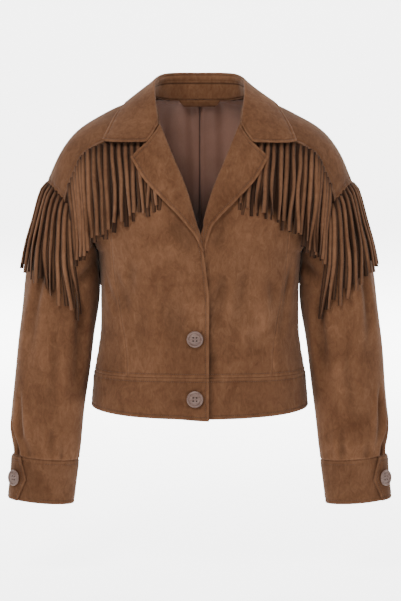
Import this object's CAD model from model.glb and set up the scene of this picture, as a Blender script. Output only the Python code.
"""The looks of a cropped, fringed western jacket, filled out as if worn.

Lengths are in millimetres until a mesh is made, +Z is up, the front faces -Y and the wearer's left is +X.
The cloth hangs on the same form as the model: a body of 25 rows (0 the front hem, 12 the shoulder ridge,
24 the back hem; s runs from the centre line, 0, to the side seam or armhole, 1) and a sleeve of rings.
Pieces are made for the wearer's left and mirrored for the right, each side with folds of its own.
"""

import math

import bpy
import numpy as np
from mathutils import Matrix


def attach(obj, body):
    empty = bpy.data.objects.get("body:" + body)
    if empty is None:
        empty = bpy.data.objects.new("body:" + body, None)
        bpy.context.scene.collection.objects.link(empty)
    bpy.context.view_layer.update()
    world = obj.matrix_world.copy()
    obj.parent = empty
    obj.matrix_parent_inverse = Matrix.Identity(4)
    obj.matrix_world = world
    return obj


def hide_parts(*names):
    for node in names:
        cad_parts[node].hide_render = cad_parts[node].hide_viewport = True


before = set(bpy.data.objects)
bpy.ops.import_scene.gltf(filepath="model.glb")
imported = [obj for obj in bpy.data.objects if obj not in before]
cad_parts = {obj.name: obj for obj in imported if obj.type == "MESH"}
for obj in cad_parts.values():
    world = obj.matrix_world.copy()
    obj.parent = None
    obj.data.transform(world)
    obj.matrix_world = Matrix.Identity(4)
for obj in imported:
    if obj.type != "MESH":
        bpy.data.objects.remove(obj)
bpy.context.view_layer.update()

# ---------------------------------------------------------------------------------------------------
# Sizes, in millimetres
# ---------------------------------------------------------------------------------------------------
CLOTH = 2.0
LINING = 1.0
SEAM_GAP = 0.15  # from each piece to its seam
STITCH_INSET = 6.0  # of a topstitched line from its edge
GRID = 4.0  # spacing of a panel's points
LAP = 15.0
LAP_RISE = 3.4
BAND_RISE = 1.0
LAPEL_RISE = 8.2
LAPEL_ROLL = 2.1  # radius of the roll at the lapel's fold
BUTTON_RADIUS = 13.2
BUTTON_DEPTH = 3.6
BUTTON_HEIGHTS = (-388, -484.6)
BAND_ROW, ARMPIT_ROW, RIDGE_ROW, BACK_HEM_ROW = 1, 4, 12, 24
CUFF_RING, EDGE_RING = 9, 10
LEFT, RIGHT, BOTH = 1, -1, 0


def table(columns, rows):
    """A table with named columns: a list of one dict for each row."""
    return [dict(zip(columns.split(), row)) for row in rows]


def values(rows):
    return np.array([list(row.values()) for row in rows], float)


def ease(t):
    t = np.clip(t, 0, 1)
    return t * t * (3 - 2 * t)


def smooth(rows, t):
    """The row at each position of t, smoothly through every row of an array."""
    rows, t = np.asarray(rows, float), np.asarray(t, float)
    i = np.clip(np.floor(t).astype(int), 0, len(rows) - 2)
    f = (t - i)[..., None]
    ends = np.vstack([2 * rows[0] - rows[1], rows, 2 * rows[-1] - rows[-2]])
    p0, p1, p2, p3 = (ends[i + k] for k in range(4))
    bend = 2 * p0 - 5 * p1 + 4 * p2 - p3
    return 0.5 * (2 * p1 + (p2 - p0) * f + bend * f**2 + (3 * p1 - p0 - 3 * p2 + p3) * f**3)


def path(*points):
    """A smooth path through points of any dimension, for t from 0 to 1 by its length."""
    points = np.array(points, float)
    at = np.r_[0, np.cumsum(np.linalg.norm(np.diff(points, axis=0), axis=1))]
    return lambda t: smooth(points, np.interp(np.asarray(t) * at[-1], at, range(len(points))))


def between(bottom, top, left, right, u, v):
    """A grid that fills the space between four paths."""
    b, t, l, r = bottom(u)[None], top(u)[None], left(v)[:, None], right(v)[:, None]
    u, v = u[None, :, None], v[:, None, None]
    corners = (b[:, :1] * (1 - u) + b[:, -1:] * u) * (1 - v) + (t[:, :1] * (1 - u) + t[:, -1:] * u) * v
    return l * (1 - u) + r * u + b * (1 - v) + t * v - corners


# ---------------------------------------------------------------------------------------------------
# The form
# ---------------------------------------------------------------------------------------------------
ARMPIT, ARM_TOP = np.array([166.0, 2, -260]), np.array([250.0, 2, -144.5])
ARMHOLE_HALF_DEPTH = 62.0
BOW_FRONT, BOW_BACK = 12.0, 8.0
ROW_ANGLES = [0, 20, 42, 66, 90, 112, 134, 157, 180]
SQUARENESS = 2.35
ARM_HALF = (ARM_TOP - ARMPIT) / 2
ARM_IN = np.array([-ARM_HALF[2], 0, ARM_HALF[0]]) / np.linalg.norm(ARM_HALF)


def bow(degrees):
    sine = np.sin(np.radians(degrees))
    return sine * np.where(sine > 0, BOW_FRONT, -BOW_BACK)


def armhole(degrees):
    a = np.radians(np.asarray(degrees, float))[..., None]
    across = np.array([0, -ARMHOLE_HALF_DEPTH, 0]) * np.sin(a)
    return (ARMPIT + ARM_TOP) / 2 - ARM_HALF * np.cos(a) + ARM_IN * bow(degrees)[..., None] + across


LOW_COLUMNS = "middle_y middle_z half_width side_z"
FRONT_LOW = table(LOW_COLUMNS, [
    [-118, -519, 178, -512],
    [-113, -451, 172.5, -453],
    [-111, -385, 162.5, -387],
    [-116, -320, 161.5, -322],
])
BACK_LOW = table(LOW_COLUMNS, [
    [110, -514, 178, -512],
    [105, -452, 172.5, -453],
    [98, -385, 162.5, -387],
    [103, -320, 161.5, -322],
])
HIGH_COLUMNS = "x0 y0 z0 x1 y1 z1 x2 y2 z2"
FRONT_HIGH = table(HIGH_COLUMNS, [
    [0, -121, -266, 91, -110, -266, 146, -68, -262],
    [0, -124, -220, 93, -113, -226, 149, -77, -240],
    [0, -119, -175, 94, -112, -182, 154, -86, -206],
    [0, -109, -135, 94, -106, -142, 160, -89, -168],
    [4, -94, -100, 98, -97, -107, 172, -84, -136],
    [20, -75, -72, 108, -84, -82, 185, -73, -112],
    [44, -53, -46, 122, -64, -58, 197, -58, -92],
    [66, -26, -22, 137, -34, -38, 206, -34, -76],
    [78, 6, -2, 148, 4, -28, 207.5, 2, -69],
])
BACK_HIGH = table(HIGH_COLUMNS, [
    [0, 112, -262, 91, 101, -262, 146, 62, -261],
    [0, 119, -206, 93, 107, -210, 151, 76, -230],
    [0, 120, -152, 93, 109, -158, 156, 85, -194],
    [0, 113, -99, 95, 104, -108, 163, 88, -154],
    [0, 98, -48, 100, 94, -66, 172, 82, -121],
    [0, 79, -9, 108, 82, -40, 184, 71, -99],
    [42, 68, -8, 121, 66, -29, 194.5, 56, -83],
    [68, 42, -5, 137, 39, -26, 204, 33, -73],
    [78, 6, -2, 148, 4, -28, 207.5, 2, -69],
])
SLEEVE_RINGS = values(table("outer_x outer_z inner_x inner_z half_depth middle_y", [
    [250, -144.5, 166, -260, 62, 2],
    [257.5, -170, 168.8, -277, 63.5, 2],
    [266, -207, 167, -298, 64, 2],
    [277.5, -250, 165.8, -323, 62.5, 2],
    [286, -295, 168.5, -353, 60, 2],
    [292.5, -345, 174, -389, 57, 1],
    [299, -415, 181.5, -443, 52, -2],
    [305.5, -480, 189, -500, 47, -6],
    [310, -540, 196, -552, 42, -10],
    [306.5, -592, 201.5, -600, 36, -14],
    [312.5, -664.5, 210.5, -673, 31, -18],
]))
BOW_FADE = 2.5
UNDERARM = {"depth": 22, "middle": 312, "spread": 20, "at": 2.1, "reach": 1.7, "start": 1.1}


def low_row(row):
    a, power = np.array([0, 1, 2, 3]) * math.pi / 6, 2 / SQUARENESS
    depth = np.maximum(np.cos(a), 0) ** power
    z = row["middle_z"] + (row["side_z"] - row["middle_z"]) * np.sin(a) ** 2
    return np.stack([row["half_width"] * np.sin(a) ** power, row["middle_y"] * depth, z], 1).ravel()


def half_rows(low, high, back):
    ends = armhole([360 - a if back else a for a in ROW_ANGLES])
    return [low_row(row) for row in low] + [np.r_[row, end] for row, end in zip(values(high), ends)]


FRONT_ROWS = half_rows(FRONT_LOW, FRONT_HIGH, False)
BODY_ROWS = np.array(FRONT_ROWS + half_rows(BACK_LOW, BACK_HIGH, True)[:RIDGE_ROW][::-1])
SIDE_SEAM = BODY_ROWS[: ARMPIT_ROW + 1, 9:]


def body(s, row):
    """Points of the body. Below 0, s is on the other side of the centre line."""
    s, row = np.broadcast_arrays(np.asarray(s, float), np.asarray(row, float))
    q = smooth(BODY_ROWS, row)
    q[..., 0] = np.maximum(q[..., 0], 0)
    below = np.minimum(row, BACK_HEM_ROW - row)
    q[..., 9:] = np.where((below < ARMPIT_ROW)[..., None], smooth(SIDE_SEAM, below), q[..., 9:])
    a, b, c, d = (q[..., k : k + 3] for k in (0, 3, 6, 9))
    p1, p2 = (-5 * a + 18 * b - 9 * c + 2 * d) / 6, (2 * a - 9 * b + 18 * c - 5 * d) / 6
    t = np.abs(s)[..., None]
    p = (1 - t) ** 3 * a + 3 * (1 - t) ** 2 * t * p1 + 3 * (1 - t) * t * t * p2 + t**3 * d
    return p * np.where(s < 0, -1, 1)[..., None] ** np.array([1, 0, 0])


def sleeve(degrees, ring):
    degrees, ring = np.broadcast_arrays(np.asarray(degrees, float), np.asarray(ring, float))
    outer_x, outer_z, inner_x, inner_z, half_depth, middle_y = np.moveaxis(smooth(SLEEVE_RINGS, ring), -1, 0)
    a = np.radians(degrees)
    out = (1 - np.cos(a)) / 2
    u = UNDERARM
    spare = u["depth"] * ease(ring / u["start"]) * np.exp(-(((degrees % 360 - u["middle"]) / u["spread"]) ** 2)
                                                         - ((ring - u["at"]) / u["reach"]) ** 2)
    p = np.stack([inner_x + (outer_x - inner_x) * out - spare, middle_y - half_depth * np.sin(a),
                  inner_z + (outer_z - inner_z) * out], -1)
    return p + ARM_IN * (np.maximum(0, 1 - ring / BOW_FADE) * bow(degrees))[..., None]


def unit(v):
    return v / np.maximum(np.linalg.norm(v, axis=-1, keepdims=True), 1e-9)


def on_body(grid):
    """Points and outward normals of body parameters."""
    s, row = grid[..., 0], grid[..., 1]
    a, b = np.clip(np.abs(s), 0.004, 0.996), np.clip(row, 0.03, BACK_HEM_ROW - 0.03)
    n = unit(np.cross(body(a + 0.003, b) - body(a - 0.003, b), body(a, b + 0.02) - body(a, b - 0.02)))
    n = n * np.where(s < 0, -1, 1)[..., None] ** np.array([1, 0, 0])
    return body(s, row), n


def on_sleeve(grid):
    a, b = grid[..., 0], np.clip(grid[..., 1], 0.02, EDGE_RING - 0.02)
    n = np.cross(sleeve(a, b + 0.02) - sleeve(a, b - 0.02), sleeve(a + 1, b) - sleeve(a - 1, b))
    return sleeve(a, grid[..., 1]), unit(n)


def seen_from_front(surface, first, second, x, z):
    """The surface parameters that the front view shows at x and z, by Newton's method."""
    x, z = np.asarray(x, float), np.asarray(z, float)
    a, b = (g.ravel() for g in np.meshgrid(first, second, indexing="ij"))
    p = surface(a, b)
    near = np.argmin(np.hypot(p[:, 0] - x[..., None], p[:, 2] - z[..., None]), axis=-1)
    a, b = a[near], b[near]
    step_a, step_b = first[1] - first[0], second[1] - second[0]
    for _ in range(12):
        p, pa, pb = surface(a, b), surface(a + 1e-3, b), surface(a, b + 1e-3)
        (xa, za), (xb, zb) = ((q - p)[..., [0, 2]].T * 1e3 for q in (pa, pb))
        dx, dz = x - p[..., 0], z - p[..., 2]
        scale = xa.T * zb.T - xb.T * za.T
        a = a + np.clip((dx * zb.T - dz * xb.T) / scale, -step_a, step_a)
        b = b + np.clip((dz * xa.T - dx * za.T) / scale, -step_b, step_b)
    return a, b


def front(x, z):
    """Body parameters of places given as seen from the front; x below 0 is past the centre line."""
    x = np.asarray(x, float)
    s, row = seen_from_front(body, np.linspace(0.02, 0.98, 11), np.linspace(0, 12, 25), np.abs(x), z)
    return np.stack([np.where(x < 0, -s, s), row], -1)


def front_path(*points):
    points = np.array(points, float)
    return path(*front(points[:, 0], points[:, 1]))


# ---------------------------------------------------------------------------------------------------
# Folds. Each is a soft trough along a curve through three places, with a ridge beside it.
# ---------------------------------------------------------------------------------------------------
# On the front (x, z) and the back (x, z), as seen from there; on the sleeve (degrees, ring).
FOLD_COLUMNS = "side a0 b0 a1 b1 a2 b2 width depth ridge"
FRONT_FOLDS = table(FOLD_COLUMNS, [
    [RIGHT, 139, -275, 126, -318, 119, -352, 9, 3.4, 1.6],
    [RIGHT, 104, -250, 112, -300, 118, -345, 10, 2.2, 1.0],
    [RIGHT, 152, -290, 140, -325, 122, -350, 8, 2.4, 1.2],
    [RIGHT, 60, -300, 52, -352, 50, -400, 15, 2.0, 1.0],
    [RIGHT, 88, -330, 96, -375, 92, -425, 13, 1.6, 0.8],
    [LEFT, 150, -262, 136, -330, 129, -392, 9, 3.2, 1.6],
    [LEFT, 112, -285, 122, -345, 124, -402, 10, 2.2, 1.2],
    [LEFT, 42, -272, 32, -330, 19, -388, 10, 4.6, 1.8],
    [LEFT, 24, -400, 20, -432, 24, -466, 7, 4.0, 1.4],
    [RIGHT, 50, -196, 27, -224, 10, -252, 10, 4.4, 0.8],
    [LEFT, 46, -192, 32, -222, 26, -252, 9, 3.0, 1.0],
    [RIGHT, 34, -300, 30, -350, 36, -410, 13, 2.0, 1.0],
    [LEFT, 74, -262, 66, -330, 62, -392, 14, 2.2, 1.2],
    [LEFT, 96, -340, 90, -385, 94, -432, 12, 1.6, 0.9],
])
BACK_FOLDS = table(FOLD_COLUMNS, [
    [RIGHT, 150, -238, 138, -300, 120, -360, 12, 3.2, 1.6],
    [RIGHT, 92, -210, 84, -290, 70, -370, 15, 2.4, 1.2],
    [RIGHT, 36, -250, 30, -330, 40, -410, 16, 2.2, 1.0],
    [RIGHT, 112, -330, 104, -380, 110, -432, 12, 2.0, 1.0],
    [LEFT, 154, -232, 134, -290, 126, -348, 12, 3.4, 1.6],
    [LEFT, 100, -225, 92, -300, 76, -352, 14, 2.2, 1.2],
    [LEFT, 20, -300, 34, -360, 30, -425, 15, 2.4, 1.0],
    [LEFT, 88, -350, 96, -396, 92, -440, 12, 1.8, 1.0],
    [BOTH, 120, -118, 128, -160, 138, -205, 16, 2.0, 1.0],
])
SLEEVE_FOLDS = table(FOLD_COLUMNS, [
    [RIGHT, 118, 2.6, 126, 4.6, 132, 6.6, 8, 3.0, 2.2],
    [RIGHT, 62, 3.4, 48, 5.2, 44, 7.2, 10, 3.2, 1.6],
    [RIGHT, 92, 5.0, 84, 6.4, 92, 7.8, 9, 2.2, 1.2],
    [RIGHT, 146, 6.9, 138, 7.8, 134, 8.9, 6, 3.4, 2.0],
    [RIGHT, 168, 7.6, 160, 8.3, 156, 8.95, 5, 3.6, 2.0],
    [RIGHT, 74, 7.7, 78, 8.4, 74, 8.98, 6, 2.2, 1.2],
    [RIGHT, 28, 1.2, 52, 2.4, 70, 3.6, 9, 2.6, 1.4],
    [LEFT, 122, 2.4, 134, 4.4, 128, 6.4, 8, 3.0, 2.0],
    [LEFT, 66, 3.0, 52, 5.0, 50, 7.4, 10, 3.4, 1.6],
    [LEFT, 98, 5.4, 88, 6.6, 96, 7.9, 9, 2.4, 1.2],
    [LEFT, 150, 6.7, 140, 7.8, 138, 8.9, 6, 3.4, 2.0],
    [LEFT, 172, 7.5, 164, 8.2, 158, 8.95, 5, 3.6, 2.0],
    [LEFT, 70, 7.8, 66, 8.4, 72, 8.98, 6, 2.2, 1.2],
    [LEFT, 24, 1.0, 48, 2.2, 62, 3.2, 9, 2.8, 1.4],
    [BOTH, 214, 2.0, 226, 3.8, 238, 5.4, 11, 3.2, 1.8],
    [BOTH, 258, 1.0, 250, 2.6, 262, 4.2, 12, 2.8, 1.4],
    [BOTH, 300, 4.2, 272, 5.0, 244, 5.3, 9, 3.4, 1.8],
    [BOTH, 318, 5.2, 292, 5.8, 262, 6.3, 9, 3.0, 1.6],
    [BOTH, 282, 6.6, 268, 7.6, 272, 8.6, 9, 2.6, 1.4],
    [BOTH, 218, 7.6, 224, 8.3, 220, 8.96, 6, 3.2, 1.8],
    [BOTH, 250, 7.9, 246, 8.4, 248, 8.97, 6, 2.6, 1.4],
    [BOTH, 300, 8.0, 304, 8.5, 300, 8.97, 6, 2.4, 1.2],
    [BOTH, 344, 1.4, 330, 2.8, 320, 4.4, 10, 3.0, 1.4],
])


def fold_curve(zone, fold):
    """Points of a fold's curve on the form, and its normals."""
    places = np.array([[fold["a0"], fold["b0"]], [fold["a1"], fold["b1"]], [fold["a2"], fold["b2"]]], float)
    line = smooth(places, np.linspace(0, 2, 13))
    if zone == "sleeve":
        return on_sleeve(line)
    if zone == "front":
        return on_body(front(line[:, 0], line[:, 1]))
    s, row = seen_from_front(body, np.linspace(0.02, 0.98, 11), np.linspace(12.5, 24, 24), line[:, 0], line[:, 1])
    return on_body(np.stack([s, row], -1))


FOLDS = {zone: [(fold, *fold_curve(zone, fold)) for fold in rows]
         for zone, rows in (("front", FRONT_FOLDS), ("back", BACK_FOLDS), ("sleeve", SLEEVE_FOLDS))}

# Slow waves of the hanging cloth: mostly upright, so that they read as a soft drape.
WAVES = np.array([[0.045, 0.05, 0.012], [0.071, -0.03, 0.02], [-0.03, 0.06, 0.026], [0.024, 0.018, -0.05],
                  [0.09, 0.07, -0.018], [-0.06, 0.085, 0.034]])
WAVE_HEIGHT = np.array([0.9, 0.5, 0.6, 0.5, 0.3, 0.3])


def fold_lift(p, zones, side):
    """How far the folds and the slow waves lift the cloth at points p."""
    phase = np.arange(6) * 1.7 + (0.9 if side == RIGHT else 0)
    lift = (np.sin(p @ WAVES.T + phase) * WAVE_HEIGHT).sum(-1) * 0.8
    for zone in zones:
        for fold, curve, normals in FOLDS[zone]:
            if fold["side"] not in (side, BOTH):
                continue
            reach = 4 * fold["width"]
            close = np.all((p > curve.min(0) - reach) & (p < curve.max(0) + reach), axis=-1)
            if not close.any():
                continue
            q = p[close][:, None]
            start, run = curve[:-1], np.diff(curve, axis=0)
            t = np.clip(((q - start) * run).sum(-1) / (run**2).sum(-1), 0, 1)
            away = q - start - run * t[..., None]
            distance = np.linalg.norm(away, axis=-1)
            k = distance.argmin(-1)
            pick = np.arange(len(k))
            along = (k + t[pick, k]) / len(run)
            across = np.sign((away[pick, k] * np.cross(unit(run), normals[:-1])[k]).sum(-1))
            d = distance[pick, k] * across / (fold["width"] * (0.75 + 0.5 * along))
            shape = fold["ridge"] * (np.exp(-((d - 1.8) ** 2)) + 0.6 * np.exp(-((d + 1.9) ** 2) / 1.5))
            shape -= 1.25 * fold["depth"] * np.exp(-(d**2))
            fade = ease(along / 0.35) * ease((1 - along) / 0.4)
            lift[close] += 1.2 * shape * fade * (1 + 0.2 * np.sin(9 * along + fold["a0"]))
    return lift


# ---------------------------------------------------------------------------------------------------
# Materials
# ---------------------------------------------------------------------------------------------------
def new_material(name):
    material = bpy.data.materials.new(name)
    material.use_nodes = True
    tree = material.node_tree
    return material, tree, tree.nodes["Principled BSDF"]


def node(tree, kind, inputs=(), **settings):
    made = tree.nodes.new(kind)
    for key, value in settings.items():
        setattr(made, key, value)
    for key, value in dict(inputs).items():
        if isinstance(value, bpy.types.NodeSocket):
            tree.links.new(value, made.inputs[key])
        else:
            made.inputs[key].default_value = value
    return made


def ramp(tree, factor, *stops):
    made = node(tree, "ShaderNodeValToRGB", {0: factor})
    elements = made.color_ramp.elements
    while len(elements) < len(stops):
        elements.new(0.5)
    for element, (position, colour) in zip(elements, stops):
        element.position = position
        element.color = (*colour, 1) if not isinstance(colour, (int, float)) else (colour,) * 3 + (1,)
    return made.outputs[0]


def noise(tree, vector, scale, detail=4, roughness=0.55, distortion=0.0):
    return node(tree, "ShaderNodeTexNoise", {"Vector": vector, "Scale": scale, "Detail": detail,
                                             "Roughness": roughness, "Distortion": distortion}).outputs[0]


def mixed(tree, factor, a, b, blend="MIX"):
    made = node(tree, "ShaderNodeMix", {0: factor}, data_type="RGBA", blend_type=blend)
    for socket, value in ((made.inputs[6], a), (made.inputs[7], b)):
        if isinstance(value, bpy.types.NodeSocket):
            tree.links.new(value, socket)
        else:
            socket.default_value = (*value, 1)
    return made.outputs[2]


def suede(name, dark, middle, light, wear=0.5):
    """Brushed suede: strokes of nap lying both ways, a fine grain, and paler rubbed edges."""
    material, tree, shader = new_material(name)
    place = node(tree, "ShaderNodeTexCoord").outputs["Object"]
    stroked = node(tree, "ShaderNodeMapping", {"Vector": place, "Rotation": (0, 0.35, 0), "Scale": (1, 1, 0.55)}).outputs[0]
    strokes = noise(tree, stroked, 88, 9, 0.7, 1.2)
    patches = noise(tree, place, 13, 4, 0.55, 0.6)
    grain = noise(tree, place, 900, 3, 0.7)
    fibres = noise(tree, stroked, 330, 4, 0.65, 0.5)
    nap = node(tree, "ShaderNodeMath", {0: strokes, 1: patches}, operation="ADD").outputs[0]
    nap = node(tree, "ShaderNodeMath", {0: nap, 1: 0.5}, operation="MULTIPLY").outputs[0]
    colour = ramp(tree, nap, (0.36, dark), (0.5, middle), (0.64, light))
    fine = ramp(tree, fibres, (0.3, 0.80), (0.7, 1.0))
    colour = mixed(tree, 1.0, colour, fine, "MULTIPLY")
    edge = node(tree, "ShaderNodeAttribute", attribute_name="worn").outputs["Fac"]
    rubbed = node(tree, "ShaderNodeMath", {0: edge, 1: wear}, operation="MULTIPLY").outputs[0]
    rubbed = node(tree, "ShaderNodeMath", {0: rubbed, 1: strokes}, operation="MULTIPLY").outputs[0]
    colour = mixed(tree, rubbed, colour, tuple(c * 1.35 for c in light))
    deep = node(tree, "ShaderNodeAttribute", attribute_name="shade").outputs["Fac"]
    colour = mixed(tree, deep, colour, tuple(c * 0.22 for c in dark))
    tree.links.new(colour, shader.inputs["Base Color"])
    shader.inputs["Roughness"].default_value = 0.93
    shader.inputs["Specular IOR Level"].default_value = 0.18
    shader.inputs["Sheen Weight"].default_value = 0.2
    shader.inputs["Sheen Roughness"].default_value = 0.42
    shader.inputs["Sheen Tint"].default_value = (1.0, 0.80, 0.66, 1)
    height = node(tree, "ShaderNodeMath", {0: grain, 1: fibres}, operation="ADD").outputs[0]
    bump = node(tree, "ShaderNodeBump", {"Height": height, "Strength": 0.35, "Distance": 0.0006})
    soft = node(tree, "ShaderNodeBump", {"Height": strokes, "Strength": 0.3, "Distance": 0.002,
                                         "Normal": bump.outputs[0]})
    tree.links.new(soft.outputs[0], shader.inputs["Normal"])
    return material


SUEDE = suede("suede", (0.116, 0.047, 0.021), (0.168, 0.074, 0.035), (0.236, 0.110, 0.056))
STRAND = suede("suede_strands", (0.112, 0.046, 0.021), (0.168, 0.075, 0.037), (0.23, 0.108, 0.056), 0.8)


def satin():
    material, tree, shader = new_material("lining_satin")
    place = node(tree, "ShaderNodeTexCoord").outputs["Object"]
    slub = noise(tree, node(tree, "ShaderNodeMapping", {"Vector": place, "Scale": (1, 1, 0.06)}).outputs[0], 900, 3)
    cloud = noise(tree, place, 14, 3, 0.5)
    colour = ramp(tree, cloud, (0.35, (0.34, 0.172, 0.122)), (0.65, (0.43, 0.225, 0.165)))
    colour = mixed(tree, 1.0, colour, ramp(tree, slub, (0.3, 0.88), (0.7, 1.0)), "MULTIPLY")
    deep = node(tree, "ShaderNodeAttribute", attribute_name="shade").outputs["Fac"]
    colour = mixed(tree, deep, colour, (0.03, 0.014, 0.010))
    tree.links.new(colour, shader.inputs["Base Color"])
    shader.inputs["Roughness"].default_value = 0.36
    shader.inputs["Specular IOR Level"].default_value = 0.4
    shader.inputs["Sheen Weight"].default_value = 0.2
    weave = node(tree, "ShaderNodeTexWave", {"Vector": place, "Scale": 420, "Distortion": 1.5, "Detail": 1},
                 bands_direction="Z").outputs[1]
    height = node(tree, "ShaderNodeMath", {0: weave, 1: slub}, operation="ADD").outputs[0]
    bump = node(tree, "ShaderNodeBump", {"Height": height, "Strength": 0.25, "Distance": 0.0003})
    tree.links.new(bump.outputs[0], shader.inputs["Normal"])
    return material


def horn():
    material, tree, shader = new_material("button_horn")
    place = node(tree, "ShaderNodeTexCoord").outputs["Object"]
    streaks = noise(tree, node(tree, "ShaderNodeMapping", {"Vector": place, "Scale": (1, 1, 3)}).outputs[0],
                    90, 4, 0.6, 1.5)
    colour = ramp(tree, streaks, (0.3, (0.14, 0.083, 0.066)), (0.55, (0.21, 0.132, 0.108)),
                  (0.75, (0.30, 0.205, 0.172)))
    tree.links.new(colour, shader.inputs["Base Color"])
    rough = ramp(tree, noise(tree, place, 260, 4), (0.3, 0.30), (0.7, 0.46))
    tree.links.new(rough, shader.inputs["Roughness"])
    bump = node(tree, "ShaderNodeBump", {"Height": noise(tree, place, 500, 3), "Strength": 0.12,
                                         "Distance": 0.0002})
    tree.links.new(bump.outputs[0], shader.inputs["Normal"])
    return material


def thread(name, dark, light):
    material, tree, shader = new_material(name)
    place = node(tree, "ShaderNodeTexCoord").outputs["Object"]
    twist = node(tree, "ShaderNodeTexWave", {"Vector": place, "Scale": 900, "Distortion": 2},
                 bands_direction="DIAGONAL").outputs[1]
    colour = ramp(tree, twist, (0.2, dark), (0.8, light))
    tree.links.new(colour, shader.inputs["Base Color"])
    shader.inputs["Roughness"].default_value = 0.6
    bump = node(tree, "ShaderNodeBump", {"Height": twist, "Strength": 0.3, "Distance": 0.0002})
    tree.links.new(bump.outputs[0], shader.inputs["Normal"])
    return material


SATIN, HORN = satin(), horn()
THREAD = thread("thread", (0.070, 0.031, 0.016), (0.120, 0.056, 0.030))
HOLE_THREAD = thread("button_thread", (0.010, 0.006, 0.004), (0.026, 0.015, 0.010))


# ---------------------------------------------------------------------------------------------------
# From grids to meshes
# ---------------------------------------------------------------------------------------------------
def add_mesh(name, vertices, faces, material, nodes=(), worn=None, shade=None, side=LEFT):
    """A mesh object on the jacket's body, from millimetre points; the right side's is mirrored."""
    vertices, faces = np.asarray(vertices, float).reshape(-1, 3) / 1000, [[int(k) for k in face] for face in faces]
    if side == RIGHT:
        vertices, faces = vertices * [-1, 1, 1], [face[::-1] for face in faces]
    mesh = bpy.data.meshes.new(name)
    mesh.from_pydata(vertices.tolist(), [], faces)
    for key, amount in (("worn", worn), ("shade", shade)):
        if amount is not None:
            layer = mesh.attributes.new(key, "FLOAT", "POINT")
            layer.data.foreach_set("value", np.clip(np.ravel(amount), 0, 1).astype(np.float32))
    mesh.polygons.foreach_set("use_smooth", [True] * len(mesh.polygons))
    mesh.set_sharp_from_angle(angle=math.radians(50))
    mesh.materials.append(material)
    piece = bpy.data.objects.new(name, mesh)
    bpy.context.scene.collection.objects.link(piece)
    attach(piece, "root")
    if nodes:
        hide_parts(*nodes)
    return piece


def grid_faces(up, across, start=0, closed=False, flip=False):
    j, i = np.meshgrid(np.arange(up - 1), np.arange(across if closed else across - 1), indexing="ij")
    k = (i + 1) % across
    quads = np.stack([j * across + i, j * across + k, (j + 1) * across + k, (j + 1) * across + i], -1)
    quads = quads.reshape(-1, 4) + start
    return quads[:, ::-1] if flip else quads


def shell_faces(up, across, closed):
    """The faces of a wall: its outer grid, then its inner grid, and the strips along its edges."""
    many = up * across
    faces = [grid_faces(up, across, 0, closed), grid_faces(up, across, many, closed, True)]
    i = np.arange(across if closed else across - 1)
    k = (i + 1) % across
    top = (up - 1) * across
    faces.append(np.stack([i + many, k + many, k, i], -1))
    faces.append(np.stack([top + i, top + k, top + k + many, top + i + many], -1))
    if not closed:
        j = np.arange(up - 1) * across
        faces.append(np.stack([j, j + across, j + across + many, j + many], -1))
        j = j + across - 1
        faces.append(np.stack([j + many, j + across + many, j + across, j], -1))
    return np.vstack(faces)


def grid_normals(p, closed=False):
    if closed:
        wide = np.concatenate([p[:, -1:], p, p[:, :1]], 1)
        along = wide[:, 2:] - wide[:, :-2]
    else:
        along = np.gradient(p, axis=1)
    return unit(np.cross(along, np.gradient(p, axis=0)))


def spaced(length, step=GRID):
    """Places from 0 to 1 along a piece: close together at its edges and its stitched lines."""
    near = np.array([0, 0.5, 1.1, 2.0, 3.4, 4.8, 5.6, 6.4, 7.2, 8.8])
    if length < 40:
        near = near[:5]
    count = max(int((length - 2 * near[-1]) / step), 2)
    inner = np.linspace(near[-1], length - near[-1], count + 1)[1:-1]
    return np.concatenate([near, inner, length - near[::-1]]) / length


ALLOWANCE = {"reach": 2.2, "drop": 1.7}


def tuck(grid, n, edge):
    """Adds a row along an edge: the seam's allowance, tucked in under the next piece."""
    if edge in ("left", "right"):
        turned = tuck(np.swapaxes(grid, 0, 1), None if n is None else np.swapaxes(n, 0, 1),
                      "bottom" if edge == "left" else "top")
        return np.swapaxes(turned, 0, 1)
    last, before = (0, 1) if edge == "bottom" else (-1, -2)
    row = grid[last]
    if n is not None:
        row = row + ALLOWANCE["reach"] * unit(grid[last] - grid[before]) - ALLOWANCE["drop"] * n[last]
    return np.concatenate([row[None], grid] if edge == "bottom" else [grid, row[None]])


def flat_cut(p, closed):
    """Width and length, in metres, and area of the flat cloth that a grid of points is cut from."""
    if closed:
        p = np.concatenate([p, p[:, :1]], 1)
    across, along = np.diff(p, axis=1), np.diff(p, axis=0)
    width = np.linalg.norm(across, axis=-1).sum(1).max() / 1000
    length = np.linalg.norm(along, axis=-1).sum(0).max() / 1000
    area = sum(np.linalg.norm(np.cross(across[a], along[:, b]), axis=-1).sum() / 2e6
               for a, b in ((slice(None, -1), slice(None, -1)), (slice(1, None), slice(1, None))))
    return (width, length), min(area, width * length)


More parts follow.
